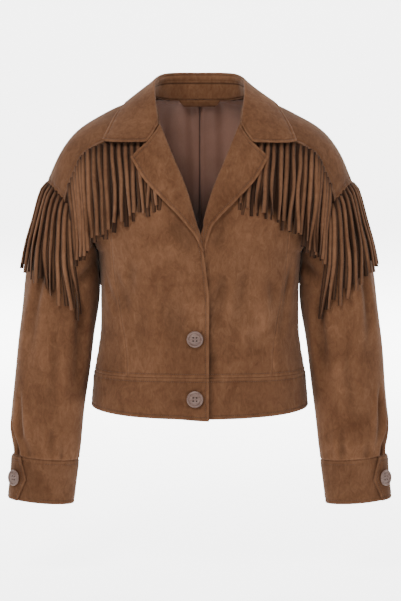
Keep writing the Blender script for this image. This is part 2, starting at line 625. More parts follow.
class Cloth:
    """A wall of cloth from a grid of points and normals, with its seams, folds and stitched lines.

    sewn names its edges that are sewn into a seam, and stitched those with a line of topstitching.
    """

    def __init__(self, name, p, n, rise=0.0, thick=CLOTH, closed=False, side=LEFT, zones=(), sewn="",
                 stitched="", folds=1.0, pucker=0.45, material=SUEDE, nodes=(), slot="suede", extra=None,
                 dark=0.0):
        self.name, self.side, self.thick = name, side, thick
        up, across = p.shape[:2]
        run = np.linalg.norm(np.diff(p, axis=1), axis=-1)
        climb = np.linalg.norm(np.diff(p, axis=0), axis=-1)
        left = np.concatenate([np.zeros((up, 1)), np.cumsum(run, 1)], 1)
        bottom = np.concatenate([np.zeros((1, across)), np.cumsum(climb, 0)], 0)
        self.distance = {"left": left, "right": left[:, -1:] - left,
                         "bottom": bottom, "top": bottom[-1:] - bottom}
        lift = np.broadcast_to(np.asarray(rise, float), (up, across)).copy()
        calm = np.ones((up, across))
        near_edge = np.full((up, across), 1e3)
        dark_lines = np.broadcast_to(np.asarray(dark, float), (up, across)).copy()
        for edge, distance in self.distance.items():
            if closed and edge in ("left", "right"):
                continue
            near_edge = np.minimum(near_edge, distance)
            arc = bottom if edge in ("left", "right") else left
            if edge in stitched:
                channel = np.exp(-(((distance - STITCH_INSET) / 1.3) ** 2))
                lift -= 0.7 * channel
                dark_lines = np.maximum(dark_lines, 0.2 * channel)
                wobble = np.sin(arc * 0.47 + 1.3 * np.sin(arc * 0.11)) + 0.5 * np.sin(arc * 0.9 + 2)
                lift += pucker * wobble * np.exp(-(((distance - STITCH_INSET) / 6) ** 2))
            elif edge in sewn:
                wobble = np.sin(arc * 0.31 + 1.7 * np.sin(arc * 0.07)) + 0.4 * np.sin(arc * 0.8 + 1)
                lift += pucker * wobble * np.exp(-distance / 7) * ease(distance / 2)
            if edge in sewn:
                calm *= 0.35 + 0.65 * ease(distance / 22)
        waves = fold_lift(p, zones, side) * folds if zones else np.zeros((up, across))
        lift += waves * calm
        if extra is not None:
            lift += extra
        roll = 1 - ease(near_edge / 2.2)
        self.outer = p + n * (lift + thick / 2 - 0.36 * thick * roll)[..., None]
        self.inner = p + n * (lift - thick / 2 + 0.12 * thick * roll)[..., None]
        self.middle, self.n, self.lift = p, n, lift
        worn = np.exp(-((near_edge / 3.0) ** 2)) * 0.9 + np.clip(waves / 5, 0, 0.35)
        shade = np.clip(-waves / 16, 0, 0.26) + 0.3 * np.exp(-((near_edge / 0.7) ** 2)) + dark_lines
        outer, inner = self.outer, self.inner
        for edge in ("bottom", "top") if closed else ("bottom", "top", "left", "right"):
            if edge in sewn:
                outer, inner = (tuck(grid, n, edge) for grid in (outer, inner))
                n, worn, shade = (tuck(grid, None, edge) for grid in (n, worn, shade))
        up, across = worn.shape
        self.flat, self.area = flat_cut((outer + inner) / 2, closed)
        self.piece = add_mesh(name, np.stack([outer, inner]), shell_faces(up, across, closed), material, nodes,
                              np.stack([worn, worn * 0]), np.stack([shade, shade]), side)

    def line(self, edge, inset=STITCH_INSET, start=0.0, end=1.0):
        """Points and normals of the outer face along one edge, at a distance from it."""
        points, normals = self.outer, self.n
        distance = self.distance[edge]
        if edge in ("left", "right"):
            points, normals, distance = (np.swapaxes(a, 0, 1) for a in (points, normals, distance))
        if edge in ("right", "top"):
            points, normals, distance = points[::-1], normals[::-1], distance[::-1]
        made = []
        for column in range(points.shape[1]):
            made.append([np.interp(inset, distance[:, column], values[:, column, k])
                         for values in (points, normals) for k in range(3)])
        made = np.array(made)
        arc = np.r_[0, np.cumsum(np.linalg.norm(np.diff(made[:, :3], axis=0), axis=1))]
        keep = (arc >= arc[-1] * start) & (arc <= arc[-1] * end)
        return made[keep, :3], unit(made[keep, 3:]), self.side


STITCH = {"pitch": 3.4, "length": 2.7, "radius": 0.34}


def add_stitches(name, lines):
    """A row of thread stitches along each line of (points, normals, side)."""
    ring = np.radians([0, 90, 180, 270])
    vertices, faces = [], []
    bead = np.array([[0, 1, 2], [0, 2, 3], [0, 3, 4], [0, 4, 1]])
    belt = np.array([[a, a + 4, (a % 4) + 5, (a % 4) + 1] for a in range(1, 5)])
    for points, normals, side in lines:
        arc = np.r_[0, np.cumsum(np.linalg.norm(np.diff(points, axis=0), axis=1))]
        places = np.arange(STITCH["pitch"], arc[-1] - STITCH["pitch"] / 2, STITCH["pitch"])
        at = lambda d: np.stack([np.interp(d, arc, points[:, k]) for k in range(3)], -1)
        up = unit(np.stack([np.interp(places, arc, normals[:, k]) for k in range(3)], -1))
        a, b = at(places - STITCH["length"] / 2), at(places + STITCH["length"] / 2)
        across = unit(np.cross(up, b - a))
        rings = []
        for share in (0.25, 0.75):
            middle = a + (b - a) * share + up * 0.16
            rings += [middle + STITCH["radius"] * (across * math.cos(r) + up * math.sin(r)) for r in ring]
        beads = np.stack([a - up * 0.15, *rings, b - up * 0.15], 1)
        if side == RIGHT:
            beads = beads * [-1, 1, 1]
        for one in beads:
            first = len(vertices)
            vertices.extend(one)
            tip = [[first + 9, first + 5 + (k + 1) % 4, first + 5 + k] for k in range(4)]
            faces.extend([[first + k for k in face] for face in bead] + tip)
            faces.extend([[first + k for k in face] for face in belt])
    mesh = bpy.data.meshes.new(name)
    mesh.from_pydata((np.array(vertices) / 1000).tolist(), [], faces)
    mesh.polygons.foreach_set("use_smooth", [True] * len(mesh.polygons))
    mesh.materials.append(THREAD)
    piece = bpy.data.objects.new(name, mesh)
    bpy.context.scene.collection.objects.link(piece)
    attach(piece, "root")
    return piece


# ---------------------------------------------------------------------------------------------------
# Seam lines, as seen from the front
# ---------------------------------------------------------------------------------------------------
ROLL_LINE = [[-1, -226], [4, -212], [9, -196], [22.8, -150], [45.7, -96], [53.6, -77], [64.8, -51]]
FRONT_EDGE = [[-LAP, -385], [-LAP, -322], [-10, -274], [-6, -247]]
SIDE_FRONT_SEAM = [[118, -410], [129, -343], [138, -279], [142, -225], [146, -165], [150, -115]]
YOKE_SEAM_INNER = [[53.6, -77], [104, -75], [154.5, -77]]
YOKE_SEAM_OUTER = [[154.5, -77], [172, -86.5], [188, -99], [198, -121], [209, -146]]
YOKE_END_ROW = 9.1
SIDE_FRONT_FOOT = [115.7, -451.8]
BACK_YOKE_SEAM = [[0, 17.4], [0.35, 16.95], [0.7, 16.1], [1, 14.95]]
# Where a strand of the yoke's fringe leaves the seam and where it ends, and the sleeve fringe's reach.
YOKE_FRINGE = values(table("root_x root_z tip_x tip_z", [
    [72, -78, 60, -174],
    [104, -77, 97, -190],
    [140, -77.5, 135, -210],
    [172, -88, 164, -228],
    [188, -101, 180, -254],
    [199, -124, 190, -262],
    [212, -153, 204, -272],
]))
SLEEVE_FRINGE = {"from": 99, "to": 261, "fan": 1.55, "root": 0.0, "tip": 3.62, "lower": 0.8}
SIDES = (("left", LEFT), ("right", RIGHT))
stitch_lines = {}


def stitched(group, cloth, edge, inset=STITCH_INSET, start=0.0, end=1.0):
    stitch_lines.setdefault(group, []).append(cloth.line(edge, inset, start, end))


def pull_in(grid, surface, gap=SEAM_GAP, closed=False):
    """Moves a grid's outer places inwards by the seam gap."""
    grid = grid.copy()
    edges = [(grid[0], grid[1]), (grid[-1], grid[-2])]
    if not closed:
        edges += [(grid[:, 0], grid[:, 1]), (grid[:, -1], grid[:, -2])]
    for edge, inside in edges:
        far = np.linalg.norm(surface(edge)[0] - surface(inside)[0], axis=-1)
        edge += (inside - edge) * np.minimum(gap / np.maximum(far, 1e-6), 0.4)[:, None]
    return grid


def under_yoke_fringe(p):
    """1 where the yoke's fringe covers the front, 0 elsewhere."""
    x, z = p[..., 0], p[..., 2]
    root = np.interp(x, YOKE_FRINGE[:, 0], YOKE_FRINGE[:, 1])
    tip = np.interp(x, YOKE_FRINGE[:, 2], YOKE_FRINGE[:, 3])
    return ease((root + 2 - z) / 4) * ease((z - tip - 4) / 16) * ease((x - 58) / 12)


def under_sleeve_fringe(degrees, ring):
    tip = SLEEVE_FRINGE["tip"] + SLEEVE_FRINGE["lower"] * ((degrees - 180) / 75) ** 2
    return ease((degrees - 94) / 10) * ease((266 - degrees) / 10) * ease((tip - 0.2 - ring) / 0.4)


def beside_buttons(p, side):
    """The dark ring round each button on the right front, where the cloth is pulled in."""
    if side == LEFT:
        return 0.0
    away = [np.hypot(p[..., 0] - 7.5, p[..., 2] - z) for z in BUTTON_HEIGHTS]
    return 0.55 * np.exp(-(((np.minimum(*away) - BUTTON_RADIUS - 0.8) / 1.9) ** 2))


def beside_lap(p, side):
    """The shade on the left front along the right front's edge."""
    if side == RIGHT:
        return 0.0
    edge = np.interp(-p[..., 2], [247, 274, 322, 385], [6, 10, LAP, LAP])
    return 0.6 * np.exp(-(((p[..., 0] - edge - 0.5) / 4.0) ** 2)) * ease((-p[..., 2] - 236) / 20)


def lap_rise(p):
    return LAP_RISE * ease((45 - p[..., 0]) / 28)


# ---------------------------------------------------------------------------------------------------
# Fronts, yokes, back and hem band
# ---------------------------------------------------------------------------------------------------
def make_fronts(word, side):
    edge_foot, foot = front(-LAP, -451), front(*SIDE_FRONT_FOOT)
    left = front_path([-LAP, -451], *FRONT_EDGE, *ROLL_LINE[:6])
    seam = front_path(SIDE_FRONT_FOOT, *SIDE_FRONT_SEAM, YOKE_SEAM_INNER[2])
    straight = lambda a, b: lambda t: a + (b - a) * np.asarray(t)[:, None]
    grid = between(straight(edge_foot, foot), front_path(*YOKE_SEAM_INNER), left, seam, spaced(130), spaced(380))
    p, n = on_body(pull_in(grid, on_body))
    rise = lap_rise(p) if side == RIGHT else 0
    panel = Cloth(f"front_{word}_cloth", p, n, rise, side=side, zones=["front"], sewn="right bottom top",
                  stitched="left bottom", nodes=[f"front_{word}"],
                  dark=0.95 * under_yoke_fringe(p) + beside_buttons(p, side) + beside_lap(p, side))
    stitched("front", panel, "left", end=0.56)
    stitched("front", panel, "bottom")
    armhole_side = path([1, BAND_ROW], [1, 2], [1, 3], [1, ARMPIT_ROW], [1, 5], [1, 7], [1, YOKE_END_ROW])
    outer = path(*front(*np.array(YOKE_SEAM_OUTER, float).T), [1, YOKE_END_ROW])
    end = np.array([1.0, BAND_ROW])
    grid = between(straight(foot, end), outer, seam, armhole_side, spaced(100), spaced(380))
    p, n = on_body(pull_in(grid, on_body))
    panel = Cloth(f"side_front_{word}_cloth", p, n, side=side, zones=["front"], sewn="left right bottom top",
                  stitched="bottom", nodes=[f"side_front_{word}"], dark=0.95 * under_yoke_fringe(p))
    stitched("front", panel, "bottom")
    return panel


def make_yoke(word, side):
    seam = front(*np.array(YOKE_SEAM_INNER + YOKE_SEAM_OUTER[1:], float).T)
    bottom = path(*seam, [1, YOKE_END_ROW])
    neck = [[0, row] for row in (12, 13, 14, 15, 16)] + [BACK_YOKE_SEAM[0]]
    left = path(seam[0], front(*ROLL_LINE[6]), [0.02, 11], *neck)
    right = lambda t: np.stack([np.ones_like(t), YOKE_END_ROW + (BACK_YOKE_SEAM[3][1] - YOKE_END_ROW) * t], -1)
    grid = between(bottom, path(*BACK_YOKE_SEAM), left, right, spaced(200), spaced(250))
    grid[..., 0] = np.maximum(grid[..., 0], 0)
    p, n = on_body(pull_in(grid, on_body))
    # The seam's edge stands up a little over the fringe that it holds.
    v = np.linspace(0, 1, len(p))[:, None]
    u = np.linspace(0, 1, p.shape[1])[None]
    proud = np.maximum(2.6 * (1 - ease(v / 0.07)), 1.9 * (1 - ease((1 - u) / 0.07)))
    panel = Cloth(f"yoke_{word}_cloth", p, n, proud, side=side, zones=["front", "back"],
                  sewn="left right top bottom", stitched="bottom right", nodes=[f"yoke_{word}"], folds=1.0,
                  dark=0.1)
    stitched("yokes", panel, "bottom", 4.5)
    stitched("yokes", panel, "bottom", 11.0)
    stitched("yokes", panel, "right")
    stitched("yokes", panel, "right", 10.5)
    stitched("yokes", panel, "top")
    return panel


def whole_back(name, lines, **options):
    """A wall across the whole back, through lines given as functions of the place along the yoke seam."""
    along = spaced(400) * 2 - 1
    s = np.sign(along) * path(*BACK_YOKE_SEAM)(np.abs(along))[:, 0]
    rows = np.stack([line(np.abs(along)) * np.ones_like(along) for line in lines])
    lengths = np.abs(np.diff(rows[:, len(along) // 2])) * 55
    t = spaced(lengths.sum()) * (len(lines) - 1)
    knots = np.r_[0, np.cumsum(lengths)] / lengths.sum() * (len(lines) - 1)
    t = np.interp(t, knots, range(len(lines)))
    grid_rows = np.stack([np.interp(t, range(len(lines)), rows[:, k]) for k in range(len(s))], 1)
    grid = np.stack([np.broadcast_to(s, grid_rows.shape), grid_rows], -1)
    p, n = on_body(pull_in(grid, on_body, options.pop("gap", SEAM_GAP)))
    return Cloth(name, p, n, **options)


def make_back():
    yoke_seam = lambda along: path(*BACK_YOKE_SEAM)(along)[:, 1]
    armpit, band, hem = lambda a: 20.0, lambda a: 23.0, lambda a: BACK_HEM_ROW - 0.02
    panel = whole_back("back_cloth", [yoke_seam, armpit, band], zones=["back"], sewn="left right top bottom",
                       stitched="top bottom", nodes=["back"], folds=1.25)
    stitched("back", panel, "top")
    stitched("back", panel, "bottom")
    strip = whole_back("hem_band_back_cloth", [band, hem], rise=BAND_RISE, zones=["back"], sewn="left right top",
                       stitched="top bottom", nodes=["hem_band_back"], folds=0.7)
    stitched("back", strip, "top")
    stitched("back", strip, "bottom")


def make_band(word, side):
    rows = 0.02 + (BAND_ROW - 0.02) * spaced(64)
    edge = front(np.full(len(rows), -LAP), body(np.zeros_like(rows), rows)[:, 2])[:, 0]
    s = edge[:, None] + (1 - edge)[:, None] * spaced(230)
    p, n = on_body(pull_in(np.stack([s, np.broadcast_to(rows[:, None], s.shape)], -1), on_body))
    rise = BAND_RISE + (lap_rise(p) if side == RIGHT else 0)
    if side == RIGHT:
        p[..., 2] -= 2.6 * ease((36 - p[..., 0]) / 50) * ease((0.9 - rows[:, None]) / 0.8)
    strip = Cloth(f"hem_band_front_{word}_cloth", p, n, rise, side=side, zones=["front"], sewn="top right",
                  stitched="left top bottom", nodes=[f"hem_band_front_{word}"], folds=0.7,
                  dark=0.06 + beside_buttons(p, side) + beside_lap(p, side))
    for edge in ("left", "top", "bottom"):
        stitched("front", strip, edge)
    return strip


# ---------------------------------------------------------------------------------------------------
# Sleeves and cuffs
# ---------------------------------------------------------------------------------------------------
ARMPIT_CLEARANCE = 3.2
CUFF = {"start": 158, "tip": -240, "shoulder": -224, "rise": 1.4, "overlap": 3.2}
# Pleats where the sleeve is sewn into the cuff: degrees, width in degrees, depth, reach in rings.
CUFF_PLEATS = {LEFT: [[150, 5, 7.5, 0.42], [112, 6, 2.6, 0.5], [66, 6, 2.2, 0.6], [212, 6, 5.5, 0.5], [290, 6, 2.6, 0.6]],
               RIGHT: [[149, 5, 7.5, 0.40], [120, 6, 2.4, 0.55], [58, 6, 2.4, 0.5], [214, 6, 5.5, 0.5], [282, 6, 2.8, 0.6]]}


def make_sleeve(word, side):
    rings = 0.02 + (CUFF_RING - 0.035) * (1 - spaced(430))
    degrees = np.linspace(0, 360, 120, endpoint=False)
    d, r = np.meshgrid(degrees, rings)
    p, n = on_sleeve(np.stack([d, r], -1))
    near = np.cos(np.radians(d)) / 2 + 0.5
    out = (0.7 + ARMPIT_CLEARANCE * near**2) * np.clip((0.6 - r) / 0.58, 0, 1)
    p = p - ARM_IN * out[..., None]
    gather = 0.9 * np.sin(np.radians(d) * 19 + 1.2 * np.sin(np.radians(d) * 3)) * np.exp(-(CUFF_RING - r) / 0.22)
    pleat = np.zeros_like(d)
    for middle, width, depth, reach in CUFF_PLEATS[side]:
        away = (d - middle - 7 * (CUFF_RING - r)) / width
        pleat += depth * np.exp(-((CUFF_RING - r) / reach) ** 2) * (0.45 * np.exp(-((away - 1.9) ** 2))
                                                                   + 0.3 * np.exp(-((away + 2) ** 2)) - np.exp(-(away**2)))
    whole = ease((CUFF_RING - 0.015 - r) / 0.05)  # the seam itself lies flat against the cuff
    gather, pleat = gather * whole, pleat * whole
    dark = np.clip(-pleat / 6, 0, 0.8) + 0.95 * under_sleeve_fringe(d, r)
    inner = np.minimum(d, 360 - d)
    dark = dark + 0.62 * np.exp(-((inner / 52) ** 2)) * ease((6.6 - r) / 4)
    # A roll of spare cloth in front of the armpit, pressed against the body.
    roll = 4.5 * np.exp(-(((d - 24) / 13) ** 2)) * np.exp(-(((r - 2.2) / 1.3) ** 2))
    tube = Cloth(f"sleeve_{word}_cloth", p, n, closed=True, side=side, zones=["sleeve"], sewn="top bottom",
                 nodes=[f"sleeve_{word}"], extra=gather + pleat + roll, dark=dark)
    stitched("yokes", tube, "top", 5.5)
    return tube


def make_cuff(word, side):
    rings = CUFF_RING + 0.005 + (EDGE_RING - CUFF_RING - 0.015) * (1 - spaced(74))
    across = np.abs(rings - CUFF_RING - 0.5) * 2
    end = CUFF["tip"] + (CUFF["shoulder"] - CUFF["tip"]) * across
    t = spaced(290, 4)
    d = end[:, None] + (CUFF["start"] - end)[:, None] * t
    p, n = on_sleeve(np.stack([d, np.broadcast_to(rings[:, None], d.shape)], -1))
    lower = ease((rings[:, None] - CUFF_RING) / 0.12)
    rise = CUFF["rise"] * (0.2 + 0.8 * lower) + CUFF["overlap"] * ease((-60 - d) / 110)
    strip = Cloth(f"cuff_{word}_cloth", p, n, rise, side=side, zones=["sleeve"], folds=0.35,
                  sewn="top", stitched="left top bottom", nodes=[f"cuff_{word}"], dark=0.2)
    for edge in ("left", "top", "bottom"):
        stitched("cuffs", strip, edge, end=1.0 if edge == "left" else 0.84)
    return strip


# ---------------------------------------------------------------------------------------------------
# Lapels and collar
# ---------------------------------------------------------------------------------------------------
LAPEL_TIP = [108.6, -102]
LAPEL_EDGE = [[20.5, -207], [36, -189], [62, -163], [88, -135], LAPEL_TIP]
LAPEL_TOP = [ROLL_LINE[6], [76.5, -70.5], [84.7, -80], [96, -90], LAPEL_TIP]
# The foot of each lapel's roll and edge. The left one ends where the right front covers it.
ROLL_FOOT = {LEFT: [[8.8, -247], [7.6, -236], [7.2, -226], [8.4, -212]], RIGHT: [[-6, -247], *ROLL_LINE[:2]]}
EDGE_FOOT = {LEFT: [[9.6, -247.5], [11, -237], [14.2, -225]], RIGHT: [[-5.2, -248], [0.5, -237], [8.5, -222]]}


def make_lapel(word, side):
    roll, edge = path(*ROLL_FOOT[side], *ROLL_LINE[2:]), path(*EDGE_FOOT[side], *LAPEL_EDGE)
    foot = np.concatenate([roll(np.zeros(1)), edge(np.zeros(1))])
    bottom = lambda t: foot[0] + (foot[1] - foot[0]) * np.asarray(t)[:, None]
    u, v = spaced(75)[1:], spaced(205)
    grid = between(bottom, path(*LAPEL_TOP), roll, edge, np.r_[0, u], v)
    places = front(grid[..., 0], grid[..., 1])
    p, n = on_body(places)
    lap = lap_rise(p)[..., None] * n if side == RIGHT else 0
    outward = unit(p[:, :1] - p[:, 1:2])
    base, up = p[:, :1] + (lap[:, :1] if side == RIGHT else 0), n[:, :1]
    turn = np.radians(np.linspace(0, 180, 9))[None, :-1, None]
    radius = LAPEL_ROLL * (0.4 + 0.6 * ease(v / 0.16))[:, None]
    rolled = base + radius[..., None] * (up * (1 - np.cos(turn)) + outward * np.sin(turn))
    turned = outward * np.sin(turn) - up * np.cos(turn)
    share = ease(np.r_[0, u] / 0.4) * ease(v[:, None] / 0.35)
    rise = 2 * radius + (LAPEL_RISE - 2 * LAPEL_ROLL) * share
    rise = rise + 0.8 * share * np.sin(v[:, None] * 9 + side) + 1.2 * ease((np.r_[0, u] - 0.6) / 0.4) * ease(v[:, None] * 2 - 1)
    leaf = p + n * rise[..., None] + lap
    panel = Cloth(f"lapel_{word}_cloth", np.concatenate([rolled, leaf], 1), np.concatenate([turned, n], 1),
                  side=side, stitched="right top", nodes=[f"lapel_{word}"])
    stitched("collar", panel, "right")
    stitched("collar", panel, "top", start=0.46)
    return panel


COLLAR = values(table("neck_x neck_y neck_z fold_x fold_y fold_z edge_x edge_y edge_z", [
    [66, -67, -50, 66, -67, -47, 156, -79, -73],
    [68.5, -44, -33, 70, -53, -20, 147, -55, -50],
    [73, -20, -16, 72.5, -31, 2, 134, -24, -27.5],
    [76.3, 6, -1, 72.5, -2, 19, 121.5, 8, -13.8],
    [69.4, 39.5, -4, 68.5, 32, 29.5, 110, 46, -12.6],
    [50, 61.5, -7, 55.5, 59.5, 36, 93, 80, -16],
    [26, 73, -8, 32, 76, 38, 54, 101, -19],
    [0, 77, -8, 0, 82, 38, 0, 108, -20],
]))
COLLAR_FRONT = path([65.4, -66, -46.8], [69.9, -74.5, -54.5], [74.5, -82.6, -61.2], [79.5, -89.2, -67.7],
                    [85.3, -93.8, -73.4], [103, -97, -73.9], [139, -90, -73.5], [156, -80, -71])
STAND_TOP = 0.86


def collar_row(along):
    """The neck, the fold and the leaf's edge, from the wearer's right end (-1) to the left one (1)."""
    rows = smooth(COLLAR, (len(COLLAR) - 1) * (1 - np.abs(along)))
    mirror = np.where(along < 0, -1, 1)[..., None] ** np.array([1, 0, 0])
    return [rows[..., k : k + 3] * mirror for k in (0, 3, 6)]


def collar_leaf(along, share):
    _, fold, edge = collar_row(along)
    t = share[..., None]
    end = (np.maximum(0, 1 - (1 - np.abs(along)) * 3.2) ** 2)[..., None]
    first, last = COLLAR_FRONT(0), COLLAR_FRONT(1)
    bent = (COLLAR_FRONT(share) - first * (1 - t) - last * t) * end
    crown = 7 * t * (1 - t) * (1 - end) * np.array([0, 0, 1])
    return fold * (1 - t) + edge * t + bent * np.where(along < 0, -1, 1)[..., None] ** np.array([1, 0, 0]) + crown


def make_collar():
    along = 1 - 2 * spaced(620)
    share = 1 - spaced(78)[:-4] / spaced(78)[-4] * 0.86
    a, v = np.meshgrid(along, share)
    leaf = collar_leaf(a, v)
    # The roll: from the leaf over the fold and down on to the stand.
    neck, fold, _ = collar_row(along)
    inner = neck + (fold - neck) * (STAND_TOP + 0.02)
    t = np.linspace(0, 1, 9)[1:, None, None]
    top = fold + np.array([0, 0, 2.0])
    roll = (1 - t) ** 2 * leaf[-1] + 2 * t * (1 - t) * top + t**2 * inner
    p = np.concatenate([leaf, roll])
    wave = 0.9 * np.sin(a * 11 + 1) * ease(v) + 0.6 * np.sin(a * 23) * ease(v)
    extra = np.concatenate([wave, np.zeros((len(roll), len(along)))])
    leaf = Cloth("collar_cloth", p, grid_normals(p), stitched="bottom left right", nodes=["collar"], extra=extra)
    for edge in ("bottom", "left", "right"):
        stitched("collar", leaf, edge, end=0.66 if edge != "bottom" else 1)

    a, v = np.meshgrid(spaced(300) * 1.86 - 0.93, spaced(44, 1.0) * (STAND_TOP - 0.02) + 0.02)
    neck, fold, _ = collar_row(a)
    p = neck + (fold - neck) * v[..., None] - np.array([0, 0, 0.8]) * (1 - v[..., None])
    line = lambda middle, width: np.exp(-(((v - middle) / width) ** 2))
    corners = np.exp(-(((np.abs(a) - 0.36) / 0.035) ** 2)) * np.sin(v * 9) + 0.7 * np.exp(-(((np.abs(a) - 0.46) / 0.03) ** 2))
    seam = 0.3 * np.sin(a * 60) * line(0.58, 0.1) - 1.0 * line(0.58, 0.03) - 0.5 * line(0.69, 0.02) + 1.5 * corners
    stand = Cloth("collar_stand_cloth", p, grid_normals(p), sewn="bottom top", nodes=["collar_stand"], extra=seam,
                  dark=0.75 * line(0.58, 0.03) + 0.35 * line(0.69, 0.02) + 0.3 * line(0.0, 0.05))


# ---------------------------------------------------------------------------------------------------
# Back lining and neck tab
# ---------------------------------------------------------------------------------------------------
LINING_DEPTH = 5.6


def make_lining():
    top = path([0, 15.03], [0.012, 14.5], [0.02, 14], [0.03, 13.4], [0.1, 12.9], [0.35, 12.7], [1, 12.56])
    straight = lambda a, b: lambda t: a + (b - a) * np.asarray(t)[:, None]
    half = between(straight(np.array([0, 23.0]), np.array([1, 23.0])), top, straight(np.array([0, 23.0]), np.array([0, 15.03])),
                   straight(np.array([1, 23.0]), np.array([1, 12.56])), 0.004 + 0.992 * spaced(200, 4), spaced(430, 5))
    grid = np.concatenate([half[:, ::-1], half * [-1, 1]], 1)
    p, n = on_body(grid)
    above = 430 * (1 - spaced(430, 5)[:, None])
    x, z = p[..., 0], p[..., 2]
    depth = 1.6 + (LINING_DEPTH - 1.6) * ease(above / 45) * np.ones_like(x)
    down = ease(above / 60)
    drape = (1.9 * np.sin(x / 8.2 + 0.7 * np.sin(z / 47)) + 0.8 * np.sin(x / 4.1 + 2 + z / 90)) * down
    gathers = 0.6 * np.sin(x / 2.1 + 0.8 * np.sin(x / 5)) * np.exp(-above / 26) * ease(above / 3)
    seam = -1.6 * np.exp(-((x / 1.2) ** 2)) + 1.0 * np.exp(-(((x - 6) / 3.5) ** 2))
    Cloth("back_lining_cloth", p, -n, depth, LINING, material=SATIN, nodes=["back_lining"], slot="lining",
          extra=drape + gathers + seam * ease(above / 4), dark=0.8 * np.exp(-((x / 1.3) ** 2)) + 0.8 * np.exp(-above / 8) + 1.1 * ease((-z - 70) / 170))


def make_tab():
    a, v = np.meshgrid(np.linspace(1, -1, 24), np.linspace(1, 0.02, 12))
    x = a * (36 - 9 * v) * np.where(v > 0.9, 0.95, 1)
    y = 79 - 40 * (x / 100) ** 2 - 6.2 + 1.6 * v
    p = np.stack([x, y, -8.4 - 12 * v], -1)
    Cloth("neck_tab_cloth", p[:, ::-1], grid_normals(p[:, ::-1]), thick=1.6, nodes=["neck_tab"],
          dark=0.6 * np.exp(-(((v - 0.86) / 0.05) ** 2)) + 0.5 * np.exp(-(((v - 0.02) / 0.08) ** 2)))


# ---------------------------------------------------------------------------------------------------
# Fringe: flat strands cut from one strip, in two layers, each with a sway, a twist and a curl of its own
# ---------------------------------------------------------------------------------------------------
STRAND_WIDTH = 7.4
STRAND_THICK = 2.0
STRAND_POINTS = 16
chance = np.random.default_rng(7)


def add_strands(name, strands, nodes=(), side=LEFT):
    """strands is a list of (centreline, outward normals, width, twist at each point, curl, shade)."""
    section = np.array([-1, -0.82, -0.42, 0, 0.42, 0.82, 1.0])
    vertices, faces, worn, shade = [], [], [], []
    many = len(section)
    for line, outward, width, twist, curl, deep in strands:
        run = unit(np.gradient(line, axis=0))
        across = unit(np.cross(run, outward))
        out = np.cross(across, run)
        c, w = np.cos(twist)[:, None], np.sin(twist)[:, None]
        tone = chance.uniform(0, 0.34)
        across, out = across * c + out * w, out * c - across * w
        first = len(vertices)
        for level in (1, -1):
            for k, x in enumerate(section):
                bend = curl * (1 - x * x) * width * 0.5
                thin = STRAND_THICK * (0.5 - 0.34 * x**4) * level
                vertices.extend(line + across * (x * width / 2) + out * (bend + thin))
                worn.extend(np.full(len(line), 0.75 * (1 - x * x)))
                down = np.linspace(0, 1, len(line))
                shade.extend(deep + tone + 0.5 * np.exp(-down / 0.09) + 0.7 * x**4 + (0.6 if level < 0 else 0))
        column = lambda level, k: first + (level * many + k) * len(line)
        for i in range(len(line) - 1):
            for k in range(many - 1):
                a, b = column(0, k) + i, column(0, k + 1) + i
                faces.append([a, b, b + 1, a + 1])
                a, b = column(1, k) + i, column(1, k + 1) + i
                faces.append([b, a, a + 1, b + 1])
            a, b = column(0, 0) + i, column(1, 0) + i
            faces.append([b, a, a + 1, b + 1])
            a, b = column(0, many - 1) + i, column(1, many - 1) + i
            faces.append([a, b, b + 1, a + 1])
        for i, flip in ((0, False), (len(line) - 1, True)):
            for k in range(many - 1):
                face = [column(1, k) + i, column(1, k + 1) + i, column(0, k + 1) + i, column(0, k) + i]
                faces.append(face[::-1] if flip else face)
    return add_mesh(name, vertices, faces, STRAND, nodes, worn=worn, shade=shade, side=side)


def strand_style(layer):
    """Random twist, curl, width and sway of one strand."""
    t = np.linspace(0, 1, STRAND_POINTS)
    twist = chance.uniform(-0.7, 0.7) * t + chance.uniform(-0.7, 0.7) * ease(t * 1.5 - 0.5)
    if chance.random() < 0.3:
        twist = twist + chance.choice([-1, 1]) * 1.2 * ease(t * 2 - 0.9)
    sway = chance.uniform(-4.2, 4.2) * np.sin(np.pi * t * chance.uniform(0.8, 1.5)) * t
    sway = sway + chance.uniform(-1.0, 1.0) * np.sin(9 * t + chance.uniform(0, 6)) * ease(t * 4)
    return twist, chance.uniform(0.25, 0.62), STRAND_WIDTH * chance.uniform(0.86, 1.08), sway


def cloth_in_front(x, z):
    """The y of the cloth seen from the front, body or sleeve, whichever is nearer; 1e3 where none is."""
    s, row = np.moveaxis(front(x, z), -1, 0)
    on = (s > -0.02) & (s < 1) & (row > 1) & (row < 12)
    y = np.where(on, body(s, row)[..., 1], 1e3)
    d, r = seen_from_front(sleeve, np.linspace(15, 165, 13), np.linspace(0, 9, 19), x, z)
    on = (d > 8) & (d < 172) & (r > 0) & (r < 9)
    return np.minimum(y, np.where(on, sleeve(d, r)[..., 1] - 4, 1e3))


